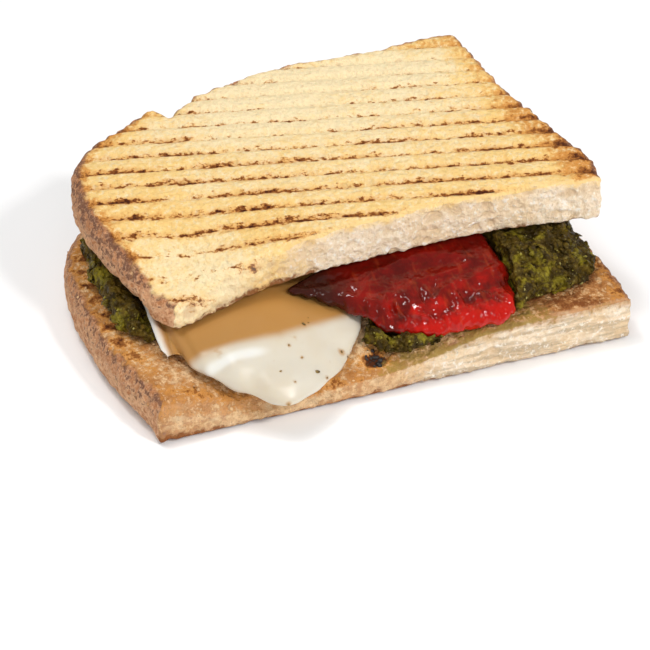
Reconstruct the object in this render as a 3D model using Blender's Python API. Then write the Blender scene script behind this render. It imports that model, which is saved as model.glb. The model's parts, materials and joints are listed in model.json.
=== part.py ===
"""Half of a grilled cheese sandwich, cut side to the front.

Two slices of ribbed, grilled bread hold a bed of pesto, a slab of melted mozzarella and half of a
semi-dried tomato. Lengths are in millimetres until place_and_scale() turns them into metres.
X runs along the knife cut, Y goes from the cut to the back of the loaf, and Z is up from the board.
Every layer is an outline filled between a lower and an upper surface, both functions of (x, y), so
that the layers rest on one another and never meet.
"""

import math

import bmesh
import bpy
from mathutils import Vector, noise
from mathutils.geometry import intersect_point_line

METRES_PER_MM = 0.001
CONTACT_GAP = 0.35
HOLLOW_CLEARANCE = 0.8
CELL = 7.0

MERGE_DISTANCE = 0.05
SHARP_EDGE = math.radians(40.0)
LARGEST_ROUNDING = 0.42  # of the thickness at the rim
LEAST_EDGE = 0.8

# Bread, from the size of one slice.
SLICE_THICKNESS = 13.6
DOMED_CRUST_ROUNDING = 4.0
FLAT_CRUST_ROUNDING = 1.5
DOMED_CRUST_X = -12.0
CRUST_CHANGE = 20.0
CUT_ROUNDING = 0.8
CUT_DEPTH = 5.0
CRUSHED_ROUNDING = 4.6
CRUSHED_X = 10.0
CRUSHED_CHANGE = 34.0

BASE_CUT_Y = -10.0
BASE_TOP_Z = 14.0
BASE_RISE_TO_BACK = 0.012
PRESSED_DIP = 6.8
PRESSED_DIP_X = -3.0
PRESSED_DIP_WIDTH = 38.0
PRESSED_DIP_REACH = 13.0

LID_RIGHT_CORNER = Vector((84.0, 12.0, 41.5))
LID_SLOPE_X = 0.042
LID_SLOPE_Y = 0.055
LID_THICKENING = 0.015
SAG_CORNER = Vector((-38.0, 12.0))
SAG_REACH = 23.0
SAG_OF_TOP = 9.4
SAG_OF_UNDERSIDE = 3.0

# Ribs that the grill presses into the lid.
GRILL_PITCH = 6.75
GRILL_ANGLE = math.radians(-16.5)
GRILL_PHASE = 4.5
GROOVE_DEPTH = 0.9
GROOVE_HALF_WIDTH = 1.5
GROOVE_FLOOR = 0.45
GROOVE_STARTS_FROM_SAG = 14.4
GROOVE_FADE = 24.0

# Mozzarella: a slab that thins to a tip in front, with a lower flank beside the tomato and a fold.
LID_EDGE_Y = 17.0
CHEESE_GAP = 1.5 * CONTACT_GAP
MOZZARELLA_THICKNESS = 10.0
MOZZARELLA_TIP_THICKNESS = 5.6
MOZZARELLA_TIP_Y = -19.0
ROLL_Y = 6.0
ROLL_FULLNESS = 0.98
MOZZARELLA_ROUNDING = 4.2
MOZZARELLA_UNEVENNESS = 0.25
MOZZARELLA_LUMP = 14.0
FLANK_FALL = 6.5
FLANK_X = -16.0
FLANK_WIDTH = 24.0
FLANK_BACK_Y = 34.0
FLANK_BACK_FADE = 12.0
FOLD_X = -41.0
FOLD_Y = 8.0
FOLD_SLANT = 0.12
FOLD_DEPTH = 2.2
FOLD_WIDTH = 1.8
FOLD_BACK_Y = 24.0
FOLD_BACK_FADE = 12.0
PESTO_UNDER_CHEESE = 3.2
PESTO_UNDER_CHEESE_Y = 8.0
PESTO_UNDER_CHEESE_EASE = 14.0

# Tomato: leans on the pesto and the cheese, and falls forward in wrinkles.
TOMATO_ROUNDING = 3.4
TOMATO_BED = 0.9
TOMATO_LEAN = 0.12
TOMATO_OFF_CHEESE_X = 15.0
TOMATO_OFF_CHEESE_Y = 38.0
TOMATO_UNDER_LID = CONTACT_GAP + 0.4
TOMATO_FALL = 8.0
TOMATO_FALL_POWER = 1.15
TOMATO_LENGTH_IN_FRONT = 27.0
WRINKLE_HEIGHT = 0.66
WRINKLE_RATE = 0.9
WRINKLE_WANDER = 2.4
WRINKLE_WANDER_SIZE = 12.0
WRINKLE_BACK_Y = 12.0
WRINKLE_EASE = 10.0

# Pesto: fills up to the lid inside, and heaps up from the cut outside.
PESTO_ROUNDING = 4.0
HEAP_Z = 20.5
HEAP_Y = -3.0
HEAP_SLOPE = 0.52
HEAP_UNEVENNESS = 2.4
HEAP_LUMP = 6.0
HEAP_RIGHT_FALL = 7.0
HEAP_RIGHT_X = 67.0
HEAP_RIGHT_WIDTH = 17.0
SMEAR_FALL = 6.8
SMEAR_X = 14.0
SMEAR_WIDTH = 15.0
SMEAR_BACK_Y = 10.0
SMEAR_EASE = 9.0
PESTO_UNDER_LID = 0.5
PESTO_UNEVENNESS = 0.5
PESTO_LUMP = 8.0
CUTTER_OVERSHOOT = 12.0
CLOSE_TO_LID = 2.0

SHARP = True
ROUND = False

BASE_OUTLINE = [
    (-50.5, -9.5, SHARP), (-10.0, -10.0, ROUND), (40.0, -10.4, ROUND), (87.5, -11.0, SHARP),
    (88.5, 4.0, ROUND), (87.5, 40.0, ROUND), (85.5, 78.0, ROUND), (83.0, 89.0, ROUND),
    (74.0, 93.0, ROUND), (44.0, 94.0, ROUND), (14.0, 94.5, ROUND), (-8.0, 89.5, ROUND),
    (-17.0, 83.0, SHARP), (-21.5, 88.5, SHARP), (-37.0, 84.0, ROUND), (-49.0, 76.0, ROUND),
    (-56.5, 60.0, ROUND), (-58.0, 38.0, ROUND), (-55.8, 13.0, ROUND),
]
LID_OUTLINE = [
    (-38.0, 11.5, SHARP), (-20.0, 14.5, ROUND), (0.0, 16.5, ROUND), (44.0, 16.0, ROUND),
    (68.0, 13.0, ROUND), (86.5, 9.5, SHARP), (88.5, 22.0, ROUND), (85.0, 37.0, ROUND),
    (80.5, 63.0, ROUND), (78.3, 89.0, ROUND), (74.0, 94.5, ROUND), (44.0, 96.0, ROUND),
    (19.0, 98.0, ROUND), (-6.0, 93.0, ROUND), (-15.0, 86.5, SHARP), (-18.5, 92.5, SHARP),
    (-31.0, 87.0, ROUND), (-44.5, 79.0, ROUND), (-51.0, 66.0, ROUND), (-51.5, 48.0, ROUND),
    (-47.0, 31.0, ROUND), (-43.5, 19.0, ROUND),
]
MOZZARELLA_OUTLINE = [
    (-43.2, 4.0, ROUND), (-41.0, 8.0, SHARP), (-39.2, 1.4, ROUND), (-33.0, -6.2, ROUND),
    (-25.0, -13.4, ROUND), (-17.8, -19.0, ROUND), (-11.5, -17.2, ROUND), (0.0, -10.0, ROUND),
    (8.5, -1.6, ROUND), (14.0, 6.0, ROUND), (12.5, 22.0, ROUND), (15.0, 38.0, ROUND),
    (34.0, 46.0, ROUND), (56.0, 53.0, ROUND), (62.0, 68.0, ROUND), (50.0, 82.0, ROUND),
    (16.0, 86.0, ROUND), (-18.0, 80.5, ROUND), (-36.0, 73.0, ROUND), (-43.0, 52.0, ROUND),
    (-43.0, 34.0, ROUND), (-44.6, 16.0, ROUND),
]
TOMATO_OUTLINE = [
    (-5.0, 15.5, ROUND), (3.0, 11.0, ROUND), (10.5, 4.5, ROUND), (18.0, -2.0, ROUND),
    (29.0, -6.6, ROUND), (41.0, -9.4, ROUND), (50.0, -9.8, ROUND), (54.6, -3.0, ROUND),
    (56.5, 8.0, ROUND), (55.0, 22.0, ROUND), (45.0, 34.0, ROUND), (28.0, 36.5, ROUND),
    (16.5, 30.0, ROUND), (8.0, 23.0, ROUND), (0.0, 19.0, ROUND),
]
PESTO_OUTLINE = [
    (-46.5, 17.0, ROUND), (-28.0, 12.5, ROUND), (-6.0, 8.0, ROUND), (8.0, 1.0, ROUND),
    (17.5, -6.6, ROUND), (32.0, -8.6, ROUND), (48.0, -9.2, ROUND), (59.0, -5.2, ROUND),
    (70.0, -2.6, ROUND), (80.0, 0.4, ROUND), (84.0, 7.0, ROUND), (82.0, 22.0, ROUND),
    (79.5, 45.0, ROUND), (76.0, 70.0, ROUND), (70.0, 87.0, ROUND), (46.0, 90.0, ROUND),
    (16.0, 90.5, ROUND), (-8.0, 84.5, ROUND), (-30.0, 80.0, ROUND), (-45.0, 71.0, ROUND),
    (-51.0, 56.0, ROUND), (-52.0, 38.0, ROUND), (-51.0, 24.0, ROUND),
]


def smooth_step(value):
    """Ease from 0 to 1, flat at both ends."""
    t = min(1.0, max(0.0, value))
    return t * t * (3.0 - 2.0 * t)


def bell(distance, width):
    """1 at no distance, falling away over about one width."""
    return math.exp(-((distance / width) ** 2))


def broad_bell(distance, width):
    """Like bell(), with a flatter middle and steeper sides."""
    return math.exp(-((distance / width) ** 4))


def lumps(x, y, size, seed):
    """Smooth unevenness between about -1 and 1, with lumps of the given size."""
    return noise.noise(Vector((x / size, y / size, seed)))


# ---------------------------------------------------------------- surfaces of the layers

def base_top(x, y):
    """Inner face of the lower slice, pressed down in a dip along the middle of the cut."""
    depth = max(y, BASE_CUT_Y) - BASE_CUT_Y
    dip = PRESSED_DIP * broad_bell(x - PRESSED_DIP_X, PRESSED_DIP_WIDTH) * bell(depth, PRESSED_DIP_REACH)
    return BASE_TOP_Z + BASE_RISE_TO_BACK * depth - dip


def base_under(x, y):
    """The lower slice lies flat on the board."""
    return 0.0


def from_sag(x, y):
    """Distance from the corner of the lid that droops over the cheese."""
    return math.hypot(x - SAG_CORNER.x, y - SAG_CORNER.y)


def lid_plane(x, y):
    """The lid's tilted, still flat top."""
    corner = LID_RIGHT_CORNER
    return corner.z + LID_SLOPE_X * (x - corner.x) + LID_SLOPE_Y * (y - corner.y)


def across_grill(x, y):
    """Distance across the grill's ribs."""
    return y * math.cos(GRILL_ANGLE) - x * math.sin(GRILL_ANGLE)


def groove(x, y):
    """Depth of the pressed grill groove at a point, none where the lid droops away."""
    across = across_grill(x, y) - GRILL_PHASE
    offset = abs(across - GRILL_PITCH * round(across / GRILL_PITCH))
    span = GROOVE_HALF_WIDTH - GROOVE_FLOOR
    depth = GROOVE_DEPTH * smooth_step((GROOVE_HALF_WIDTH - offset) / span)
    return depth * smooth_step((from_sag(x, y) - GROOVE_STARTS_FROM_SAG) / GROOVE_FADE)


def lid_top(x, y):
    """Grilled top of the upper slice."""
    return lid_plane(x, y) - SAG_OF_TOP * bell(from_sag(x, y), SAG_REACH) - groove(x, y)


def lid_under(x, y):
    """Inner face of the upper slice."""
    thickness = SLICE_THICKNESS + LID_THICKENING * (y - LID_RIGHT_CORNER.y)
    return lid_plane(x, y) - thickness - SAG_OF_UNDERSIDE * bell(from_sag(x, y), SAG_REACH)


def mozzarella_under(x, y):
    """The cheese lies on the bread at the cut and on pesto farther in."""
    bed = PESTO_UNDER_CHEESE * smooth_step((y - PESTO_UNDER_CHEESE_Y) / PESTO_UNDER_CHEESE_EASE)
    return base_top(x, y) + CHEESE_GAP + bed


def mozzarella_over(x, y):
    """Melted top: close under the lid inside, a rounded fall to the tip outside, thin at the tomato."""
    outside = min(1.0, max(0.0, (ROLL_Y - y) / (ROLL_Y - MOZZARELLA_TIP_Y)))
    roll = 1.0 - math.sqrt(1.0 - ROLL_FULLNESS * outside ** 2)
    thickness = MOZZARELLA_THICKNESS + (MOZZARELLA_TIP_THICKNESS - MOZZARELLA_THICKNESS) * roll
    flank = FLANK_FALL * smooth_step((x - FLANK_X) / FLANK_WIDTH) * (1.0 - 0.5 * outside)
    flank *= smooth_step((FLANK_BACK_Y - y) / FLANK_BACK_FADE)
    fold = FOLD_DEPTH * bell(x - FOLD_X - FOLD_SLANT * (y - FOLD_Y), FOLD_WIDTH)
    fold *= smooth_step((FOLD_BACK_Y - y) / FOLD_BACK_FADE)
    uneven = MOZZARELLA_UNEVENNESS * lumps(x, y, MOZZARELLA_LUMP, 3.0)
    ceiling = lid_under(x, max(y, SAG_CORNER.y)) - CONTACT_GAP
    return min(base_top(x, y) + thickness - flank + uneven, ceiling) - fold


def tomato_under(x, y):
    """The tomato leans on the pesto, and at its left end on the cheese."""
    on_pesto = base_top(x, y) + TOMATO_BED + TOMATO_LEAN * (y - BASE_CUT_Y)
    on_cheese = mozzarella_over(x, y) + CHEESE_GAP
    if x > TOMATO_OFF_CHEESE_X or y > TOMATO_OFF_CHEESE_Y:
        return on_pesto
    return max(on_pesto, on_cheese)


def tomato_over(x, y):
    """Wrinkled skin, falling forward from under the lid."""
    fall = max(0.0, (LID_EDGE_Y - y) / TOMATO_LENGTH_IN_FRONT)
    wander = WRINKLE_WANDER * lumps(x, y, WRINKLE_WANDER_SIZE, 7.0)
    wrinkle = WRINKLE_HEIGHT * math.sin(WRINKLE_RATE * x + wander)
    wrinkle *= smooth_step((WRINKLE_BACK_Y - y) / WRINKLE_EASE)
    crest = lid_under(x, max(y, LID_EDGE_Y)) - TOMATO_UNDER_LID
    skin = crest - TOMATO_FALL * fall ** TOMATO_FALL_POWER + wrinkle
    return min(skin, lid_under(x, max(y, SAG_CORNER.y)) - CONTACT_GAP)


def pesto_under(x, y):
    """Pesto is spread straight on the lower slice."""
    return base_top(x, y) + CONTACT_GAP


def pesto_over(x, y):
    """Pesto fills up to the lid, and heaps forward in clumps where it is squeezed out at the cut."""
    ceiling = lid_under(x, max(y, SAG_CORNER.y)) - CONTACT_GAP
    heap = HEAP_Z + HEAP_SLOPE * (y - HEAP_Y) + HEAP_UNEVENNESS * lumps(x, y, HEAP_LUMP, 11.0)
    heap -= HEAP_RIGHT_FALL * smooth_step((x - HEAP_RIGHT_X) / HEAP_RIGHT_WIDTH)
    heap -= SMEAR_FALL * bell(x - SMEAR_X, SMEAR_WIDTH) * smooth_step((SMEAR_BACK_Y - y) / SMEAR_EASE)
    inside = ceiling - PESTO_UNDER_LID + PESTO_UNEVENNESS * lumps(x, y, PESTO_LUMP, 5.0)
    return min(heap, inside)


# ---------------------------------------------------------------- roundings of the rims

def blend(start, end, amount):
    """Ease from start to end as the amount goes from 0 to 1."""
    return start + (end - start) * smooth_step(amount)


def bread_rim(cut_y):
    """Well rounded at the domed crust, less at the flat crust, nearly sharp at the knife's cut.

    The upper edge of the cut is crushed round at the left, where the bread droops and is pressed.
    """
    def rounding(x, y, upper):
        crust = blend(FLAT_CRUST_ROUNDING, DOMED_CRUST_ROUNDING, (DOMED_CRUST_X - x) / CRUST_CHANGE)
        cut = CUT_ROUNDING
        if upper:
            cut = blend(CUT_ROUNDING, CRUSHED_ROUNDING, (CRUSHED_X - x) / CRUSHED_CHANGE)
        return blend(cut, crust, (y - cut_y) / CUT_DEPTH)
    return rounding


def even_rim(radius):
    """The same rounding all the way round."""
    return lambda x, y, upper: radius


# ---------------------------------------------------------------- building a layer

def smooth_outline(stations, spacing):
    """Points along a closed curve through the stations, with the sharp ones kept as corners."""
    points = []
    count = len(stations)
    for i in range(count):
        start, end = stations[i], stations[(i + 1) % count]
        before = start if start[2] else stations[i - 1]
        after = end if end[2] else stations[(i + 2) % count]
        p0, p1, p2, p3 = (Vector(station[:2]) for station in (before, start, end, after))
        steps = max(1, round((p2 - p1).length / spacing))
        for step in range(steps):
            t = step / steps
            tangent_in = 0.5 * (p2 - p0)
            tangent_out = 0.5 * (p3 - p1)
            points.append(
                p1 * (2 * t ** 3 - 3 * t ** 2 + 1) + tangent_in * (t ** 3 - 2 * t ** 2 + t)
                + p2 * (3 * t ** 2 - 2 * t ** 3) + tangent_out * (t ** 3 - t ** 2)
            )
    return points


def inset_distance(point, outline):
    """How far inside the outline a point lies."""
    nearest = math.inf
    for start, end in zip(outline, outline[1:] + outline[:1]):
        foot, along = intersect_point_line(point, start, end)
        if along <= 0.0:
            foot = start
        elif along >= 1.0:
            foot = end
        nearest = min(nearest, (point - Vector(foot[:2])).length)
    return nearest


def cut_in_strips(mesh, faces, normal, offsets):
    """Divide the faces by parallel upright planes at the given offsets along the normal."""
    for offset in offsets:
        edges = {edge for face in faces for edge in face.edges}
        corners = {corner for face in faces for corner in face.verts}
        cut = bmesh.ops.bisect_plane(
            mesh, geom=list(faces) + list(edges) + list(corners), dist=MERGE_DISTANCE,
            plane_co=Vector(normal) * offset, plane_no=Vector(normal))
        faces = [item for item in cut["geom"] if isinstance(item, bmesh.types.BMFace)]
    return faces


def grid_offsets(low, high, cell):
    """Multiples of the cell size between two limits."""
    return [cell * i for i in range(math.ceil(low / cell), math.floor(high / cell) + 1)]


def rim_drop(inset, radius):
    """How much a quarter-round rim falls below the face at some distance in from its edge."""
    if inset >= radius or radius <= 0.0:
        return 0.0
    return radius - math.sqrt(radius ** 2 - (radius - inset) ** 2)


def grow_outline(outline, growth):
    """Move every point of a counterclockwise outline outwards."""
    grown = []
    for i, point in enumerate(outline):
        along = (outline[(i + 1) % len(outline)] - outline[i - 1]).normalized()
        grown.append(point + Vector((along.y, -along.x)) * growth)
    return grown


def make_layer(name, stations, surfaces, rounding, spacing, cell, rings, ribbed=False, growth=0.0):
    """Fill an outline between two surfaces, as one closed mesh with rounded rims."""
    under, over = surfaces
    outline = grow_outline(smooth_outline(stations, spacing), growth)
    mesh = bmesh.new()
    sheet = mesh.faces.new([mesh.verts.new((point.x, point.y, 0.0)) for point in outline])
    for width in rings:
        bmesh.ops.inset_region(
            mesh, faces=[sheet], thickness=width, use_boundary=True, use_even_offset=True)

    xs = [point.x for point in outline]
    ys = [point.y for point in outline]
    faces = cut_in_strips(mesh, mesh.faces[:], (1, 0, 0), grid_offsets(min(xs), max(xs), cell))
    faces = cut_in_strips(mesh, faces, (0, 1, 0), grid_offsets(min(ys), max(ys), cell))

    grown = bmesh.ops.extrude_face_region(mesh, geom=faces)["geom"]
    upper_faces = [item for item in grown if isinstance(item, bmesh.types.BMFace)]
    if ribbed:
        cross = (-math.sin(GRILL_ANGLE), math.cos(GRILL_ANGLE), 0.0)
        reach = [across_grill(point.x, point.y) for point in outline]
        upper_faces = cut_in_strips(mesh, upper_faces, cross, rib_offsets(min(reach), max(reach)))
    upper = {corner for face in upper_faces for corner in face.verts}
    caps = [face for face in mesh.faces if len({corner in upper for corner in face.verts}) == 1]
    bmesh.ops.triangulate(mesh, faces=caps, quad_method="BEAUTY", ngon_method="BEAUTY")

    for corner in mesh.verts:
        x, y = corner.co.x, corner.co.y
        low, high = under(x, y), over(x, y)
        inset = inset_distance(corner.co.xy, outline)
        below = min(rounding(x, y, False), LARGEST_ROUNDING * (high - low))
        above = min(rounding(x, y, True), high - low - below - LEAST_EDGE)
        corner.co.z = high - rim_drop(inset, above) if corner in upper else low + rim_drop(inset, below)

    bmesh.ops.scale(mesh, vec=(METRES_PER_MM,) * 3, verts=mesh.verts)
    bmesh.ops.recalc_face_normals(mesh, faces=mesh.faces)
    data = bpy.data.meshes.new(name)
    mesh.to_mesh(data)
    mesh.free()
    data.shade_smooth()
    data.set_sharp_from_angle(angle=SHARP_EDGE)
    layer = bpy.data.objects.new(name, data)
    bpy.context.scene.collection.objects.link(layer)
    return layer


def rib_offsets(low, high):
    """Planes along both shoulders and both sides of the floor of every grill groove."""
    edges = (-GROOVE_HALF_WIDTH, -GROOVE_FLOOR, GROOVE_FLOOR, GROOVE_HALF_WIDTH)
    first = math.floor((low - GRILL_PHASE) / GRILL_PITCH)
    last = math.ceil((high - GRILL_PHASE) / GRILL_PITCH)
    centres = [GRILL_PHASE + GRILL_PITCH * i for i in range(first, last + 1)]
    return [centre + edge for centre in centres for edge in edges if low < centre + edge < high]


def give_material(layer, name, colour, roughness):
    """One food surface: never metallic."""
    material = bpy.data.materials.new(name)
    material.use_nodes = True
    shader = material.node_tree.nodes["Principled BSDF"]
    shader.inputs["Base Color"].default_value = (*colour, 1.0)
    shader.inputs["Roughness"].default_value = roughness
    shader.inputs["Metallic"].default_value = 0.0
    layer.data.materials.append(material)


# ---------------------------------------------------------------- the pieces

def make_bread_bottom():
    """Lower slice: crust on three sides, crumb at the cut, pressed thin in the middle of the cut."""
    layer = make_layer("bread_bottom", BASE_OUTLINE, (base_under, base_top), bread_rim(BASE_CUT_Y + 1.0),
                       spacing=4.5, cell=CELL, rings=(1.0, 2.2))
    give_material(layer, "crust_brown", (0.42, 0.22, 0.10), 0.75)
    return layer


def make_bread_top():
    """Upper slice: ribbed by the grill, with its front left corner drooping over the cheese."""
    layer = make_layer("bread_top", LID_OUTLINE, (lid_under, lid_top), bread_rim(LID_EDGE_Y + 0.5),
                       spacing=4.5, cell=1.5 * CELL, rings=(1.0, 2.2), ribbed=True)
    give_material(layer, "grilled_cream", (0.78, 0.58, 0.32), 0.7)
    return layer


def make_mozzarella():
    """One molten slab through the whole half, with a folded lobe at the left of the cut."""
    layer = make_layer("mozzarella", MOZZARELLA_OUTLINE, (mozzarella_under, mozzarella_over),
                       even_rim(MOZZARELLA_ROUNDING), spacing=4.0, cell=CELL, rings=())
    give_material(layer, "mozzarella_white", (0.86, 0.82, 0.72), 0.3)
    return layer


def make_tomato():
    """Half of a semi-dried tomato, squeezed out at the cut."""
    layer = make_layer("tomato", TOMATO_OUTLINE, (tomato_under, tomato_over),
                       even_rim(TOMATO_ROUNDING), spacing=3.5, cell=0.5 * CELL, rings=(0.9, 1.8))
    give_material(layer, "tomato_red", (0.42, 0.02, 0.01), 0.25)
    return layer


def make_pesto(cutters):
    """Everything between the slices that isn't cheese or tomato, with clumps at the sides."""
    layer = make_layer("pesto", PESTO_OUTLINE, (pesto_under, pesto_over),
                       even_rim(PESTO_ROUNDING), spacing=4.0, cell=CELL, rings=(1.2, 2.4))
    give_material(layer, "pesto_green", (0.07, 0.09, 0.015), 0.5)
    for cutter in cutters:
        hollow = layer.modifiers.new(cutter.name, "BOOLEAN")
        hollow.operation = "DIFFERENCE"
        hollow.solver = "EXACT"
        hollow.object = cutter
    keep_largest_body(layer)
    return layer


def connected_faces(start):
    """All faces that can be reached from one face over shared edges."""
    reached = {start}
    waiting = [start]
    while waiting:
        face = waiting.pop()
        for edge in face.edges:
            for neighbour in edge.link_faces:
                if neighbour not in reached:
                    reached.add(neighbour)
                    waiting.append(neighbour)
    return reached


def keep_largest_body(layer):
    """Apply the cuts and drop the crumbs that they leave loose."""
    bpy.context.view_layer.update()
    cut = layer.evaluated_get(bpy.context.evaluated_depsgraph_get())
    data = bpy.data.meshes.new_from_object(cut)
    mesh = bmesh.new()
    mesh.from_mesh(data)
    left = set(mesh.faces)
    bodies = []
    while left:
        body = connected_faces(next(iter(left)))
        bodies.append(body)
        left -= body
    largest = max(bodies, key=lambda body: sum(face.calc_area() for face in body))
    loose = [face for face in mesh.faces if face not in largest]
    bmesh.ops.delete(mesh, geom=loose, context="FACES")
    mesh.to_mesh(data)
    mesh.free()
    layer.modifiers.clear()
    layer.data = data


def make_cutter(name, stations, surfaces, cell):
    """A filling made a little larger all round, to hollow out the pesto."""
    cutter = make_layer(name, stations, surfaces, even_rim(0.0), spacing=4.0, cell=cell, rings=(),
                        growth=HOLLOW_CLEARANCE)
    cutter.hide_render = True
    cutter.display_type = "WIRE"
    return cutter


def make_cutters():
    """Hollows for the cheese and for the tomato."""
    def below(surface):
        return lambda x, y: surface(x, y) - HOLLOW_CLEARANCE

    def over_cheese(x, y):
        free = mozzarella_over(x, y) + HOLLOW_CLEARANCE
        touches_lid = lid_under(x, y) - free < CLOSE_TO_LID
        return free + (CUTTER_OVERSHOOT if touches_lid or y < LID_EDGE_Y else 0.0)

    def over_tomato(x, y):
        return lid_under(x, y) + CUTTER_OVERSHOOT

    return [
        make_cutter("mozzarella_hollow", MOZZARELLA_OUTLINE, (below(mozzarella_under), over_cheese), CELL),
        make_cutter("tomato_hollow", TOMATO_OUTLINE, (below(tomato_under), over_tomato), 0.5 * CELL),
    ]


def place_and_scale(layers, cutters):
    """Centre the sandwich over the origin, standing on the board."""
    corners = [corner.co for layer in layers for corner in layer.data.vertices]
    middle = Vector((0.0, 0.0, min(corner.z for corner in corners)))
    for axis in range(2):
        low = min(corner[axis] for corner in corners)
        high = max(corner[axis] for corner in corners)
        middle[axis] = 0.5 * (low + high)
    for layer in layers + cutters:
        layer.location = -middle


def main():
    """Build the five pieces, bottom to top."""
    for item in list(bpy.data.objects):
        bpy.data.objects.remove(item, do_unlink=True)
    cutters = make_cutters()
    layers = [make_bread_bottom(), make_pesto(cutters), make_mozzarella(), make_tomato(), make_bread_top()]
    place_and_scale(layers, cutters)


main()
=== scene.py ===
"""Looks for half of a grilled cheese sandwich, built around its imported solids.

Each filling and each slice is remeshed finely from its solid, then given pores, folds, wrinkles and
grains in mesh code, and a node material that follows its own browning. Lengths are in millimetres
unless a name says otherwise, and become metres when they reach a mesh.
"""

import json
import math
import random

import bmesh
import bpy
import numpy as np
from bpy.props import FloatProperty, FloatVectorProperty, IntProperty, PointerProperty
from mathutils import Matrix, Vector, noise
from mathutils.bvhtree import BVHTree
from mathutils.kdtree import KDTree

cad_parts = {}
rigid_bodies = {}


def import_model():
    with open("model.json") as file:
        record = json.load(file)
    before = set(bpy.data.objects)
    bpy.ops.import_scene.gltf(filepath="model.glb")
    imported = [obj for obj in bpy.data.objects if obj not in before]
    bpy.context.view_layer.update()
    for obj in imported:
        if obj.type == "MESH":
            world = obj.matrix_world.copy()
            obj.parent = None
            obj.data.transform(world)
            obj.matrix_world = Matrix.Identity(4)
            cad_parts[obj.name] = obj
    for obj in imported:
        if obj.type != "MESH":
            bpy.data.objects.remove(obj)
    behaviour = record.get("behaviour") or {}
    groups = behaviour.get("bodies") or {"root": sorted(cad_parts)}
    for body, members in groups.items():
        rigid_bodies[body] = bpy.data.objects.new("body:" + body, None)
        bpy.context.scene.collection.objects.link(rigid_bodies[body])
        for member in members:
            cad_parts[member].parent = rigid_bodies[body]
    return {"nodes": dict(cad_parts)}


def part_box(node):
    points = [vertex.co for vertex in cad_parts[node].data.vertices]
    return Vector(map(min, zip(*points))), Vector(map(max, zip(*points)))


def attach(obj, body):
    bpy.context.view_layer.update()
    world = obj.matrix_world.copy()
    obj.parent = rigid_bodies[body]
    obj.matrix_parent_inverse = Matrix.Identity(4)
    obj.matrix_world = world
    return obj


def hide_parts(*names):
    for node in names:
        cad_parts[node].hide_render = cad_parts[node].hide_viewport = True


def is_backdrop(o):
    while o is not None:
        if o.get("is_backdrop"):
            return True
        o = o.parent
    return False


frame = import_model()

bl_info = {
    "name": "Grilled Cheese Sandwich",
    "version": (1, 0, 0),
    "blender": (4, 5, 0),
    "location": "View3D > Sidebar > Sandwich",
    "description": "Bread, cheese, tomato and pesto of a grilled sandwich half, and a stage for it",
    "category": "Object",
}

MM = 0.001
WELD = 0.000002

GRILL_PITCH = 6.75
GRILL_ANGLE = math.radians(16.5)
GRILL_PHASE = 2.77
UNDERSIDE_GROOVE = 0.5
DROOP = Vector((-53.2, -27.5))
DROOP_REACH = 30.0
LID_HOLE = Vector((-50.2, -30.6))
LID_FRONT_Y = -23.5
CHEESE_ROLL_Y = -40.3
CHEESE_CREASE_X = -55.5
CHAR_SPOT = Vector((-2.2, -44.0))
CHAR_REACH = 3.0
CHARRED_FLAKES = 34
NUT_EVERY = 12
CHEESE_GRAIN = 0.75
TOMATO_GRAIN = 0.42
PESTO_GRAIN = 0.62
LOOK_OUT = 6.0
OVERHEAD = Vector((-0.22, 0.22, 0.88))  # metres


# ---------------------------------------------------------------- small helpers

def ease(values, low, high):
    """0 below low, 1 above high, smooth between."""
    t = np.clip((values - low) / (high - low), 0.0, 1.0)
    return t * t * (3.0 - 2.0 * t)


def unevenness(points, size, seed):
    """Smooth noise of about -1 to 1 at each point, with lumps of the given size."""
    shift = Vector((7.3 * seed, 3.1 * seed, 5.7 * seed))
    return np.array([noise.noise(Vector(point) / size + shift) for point in points.tolist()])


def ridges(points, size, seed):
    """Sharp-crested noise of about 0 to 1, for wrinkled skin."""
    shift = Vector((4.9 * seed, 8.3 * seed, 2.1 * seed))
    return 1.0 - np.abs(
        np.array([noise.noise(Vector(point) / size + shift) for point in points.tolist()])) * 2.2


def read_points(mesh):
    """Vertex positions in millimetres."""
    flat = np.empty(len(mesh.vertices) * 3)
    mesh.vertices.foreach_get("co", flat)
    return flat.reshape(-1, 3) / MM


def read_normals(mesh):
    """Vertex normals."""
    flat = np.empty(len(mesh.vertices) * 3)
    mesh.vertex_normals.foreach_get("vector", flat)
    return flat.reshape(-1, 3)


def write_points(mesh, points):
    """Move every vertex to its place, given in millimetres."""
    mesh.vertices.foreach_set("co", (points * MM).ravel())
    mesh.update()


def write_value(mesh, name, values):
    """Keep one number for each vertex, for the material to read."""
    mesh.attributes.new(name, "FLOAT", "POINT").data.foreach_set("value", values.astype(np.float32))


def merged_copy(node):
    """A bmesh of a solid, with the corners of its loose triangles merged."""
    mesh = bmesh.new()
    mesh.from_mesh(frame["nodes"][node].data)
    bmesh.ops.remove_doubles(mesh, verts=mesh.verts, dist=WELD)
    return mesh


def fine_copy(node, name, grain, passes):
    """A new piece in a solid's place, remeshed to an even grain and smoothed."""
    mesh = merged_copy(node)
    data = bpy.data.meshes.new(name)
    mesh.to_mesh(data)
    mesh.free()
    piece = bpy.data.objects.new(name, data)
    bpy.context.scene.collection.objects.link(piece)
    remesh = piece.modifiers.new("even_grain", "REMESH")
    remesh.mode = "VOXEL"
    remesh.voxel_size = grain * MM
    bpy.context.view_layer.update()
    fine = bpy.data.meshes.new_from_object(piece.evaluated_get(bpy.context.evaluated_depsgraph_get()))
    piece.modifiers.clear()
    piece.data = fine
    fine.name = name
    bpy.data.meshes.remove(data)
    smooth_piece(fine, passes)
    fine.materials.clear()
    return piece


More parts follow.
